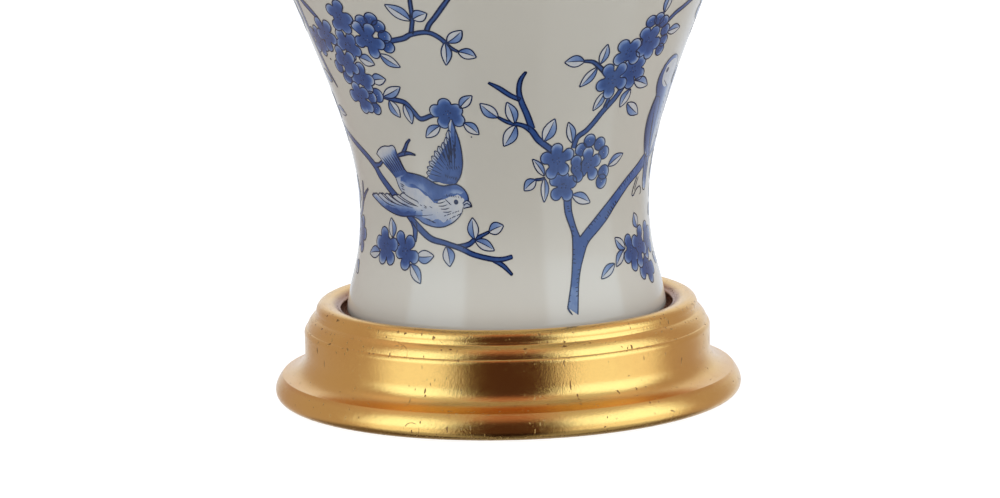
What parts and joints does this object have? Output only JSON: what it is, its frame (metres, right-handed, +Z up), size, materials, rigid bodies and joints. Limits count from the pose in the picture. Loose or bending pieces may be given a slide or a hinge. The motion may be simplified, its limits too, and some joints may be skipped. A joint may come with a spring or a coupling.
{
  "type": "urn table lamp",
  "caption": "Table lamp with a tall porcelain urn on a turned gilded base, a gilded cap, a harp, a turn-knob socket and a tapered drum shade.",
  "frame": {"origin": "on the table under the lamp's axis, at the underside of the felt", "axes": "+Z up along the lamp's axis; the front faces -Y and the harp stands in the XZ plane"},
  "size_m": [0.4079, 0.4078, 0.6884],
  "materials": {
    "gold_leaf": "turned wood under rubbed gold leaf",
    "porcelain_glaze": "glossy white glaze with blue brushwork",
    "polished_brass": "polished, lightly lacquered",
    "zinc_steel": "bright zinc",
    "felt": "dark green felt",
    "gasket_rubber": "soft sheet",
    "black_moulding": "moulded, satin",
    "liner_card": "pressed insulating card",
    "aluminium_shell": "thin rolled shell",
    "frosted_glass": "white frosted inside",
    "shade_liner": "white laminated sheet",
    "shade_linen": "plain woven linen",
    "shade_tape": "folded tape of the same cloth"
  },
  "bodies": {
    "lamp": {"felt_pad": "felt", "turned_base": "gold_leaf", "cord_bushing": "black_moulding", "lamp_pipe": "polished_brass", "lower_nut": "zinc_steel", "lock_washer": "zinc_steel", "plate_washer": "zinc_steel", "foot_gasket": "gasket_rubber", "urn_body": "porcelain_glaze", "mouth_gasket": "gasket_rubber", "vase_cap": "gold_leaf", "seat_ring": "polished_brass", "neck_tube": "polished_brass", "check_ring": "polished_brass", "harp_saddle": "polished_brass", "harp_wire": "polished_brass", "socket_cap": "polished_brass", "socket_set_screw": "polished_brass", "socket_shell": "polished_brass", "insulating_liner": "liner_card", "socket_insulator": "black_moulding", "terminal_screws": "polished_brass", "screw_shell": "aluminium_shell", "centre_contact": "polished_brass"},
    "ferrule_left": {"ferrule_left": "polished_brass"},
    "ferrule_right": {"ferrule_right": "polished_brass"},
    "switch": {"switch_shaft": "polished_brass", "switch_knob": "black_moulding"},
    "bulb": {"bulb_base": "aluminium_shell", "bulb_glass": "frosted_glass"},
    "shade": {"harp_stud": "polished_brass", "shade_spider": "polished_brass", "shade_top_ring": "polished_brass", "shade_bottom_ring": "polished_brass", "shade_lining": "shade_liner", "shade_cover": "shade_linen", "top_trim": "shade_tape", "bottom_trim": "shade_tape"},
    "finial": {"finial_base": "polished_brass", "finial_knob": "gold_leaf"}
  },
  "joints": [
    {"name": "ferrule_left_lift", "type": "slide", "parent": "lamp", "child": "ferrule_left", "axis": [0, 0, 1], "range_m": [0, 0.017]},
    {"name": "ferrule_right_lift", "type": "slide", "parent": "lamp", "child": "ferrule_right", "axis": [0, 0, 1], "range_m": [0, 0.017]},
    {"name": "switch_turn", "type": "hinge", "parent": "lamp", "child": "switch", "pos_m": [0, -0.02025, 0.4308], "axis": [0, -1, 0], "continuous": true},
    {"name": "bulb_unscrew", "type": "slide", "parent": "lamp", "child": "bulb", "axis": [0, 0, 1], "range_m": [0, 0.026]},
    {"name": "shade_turn", "type": "hinge", "parent": "lamp", "child": "shade", "pos_m": [0, 0, 0.646], "axis": [0, 0, 1], "continuous": true},
    {"name": "finial_unscrew", "type": "slide", "parent": "shade", "child": "finial", "axis": [0, 0, 1], "range_m": [0, 0.019]}
  ]
}
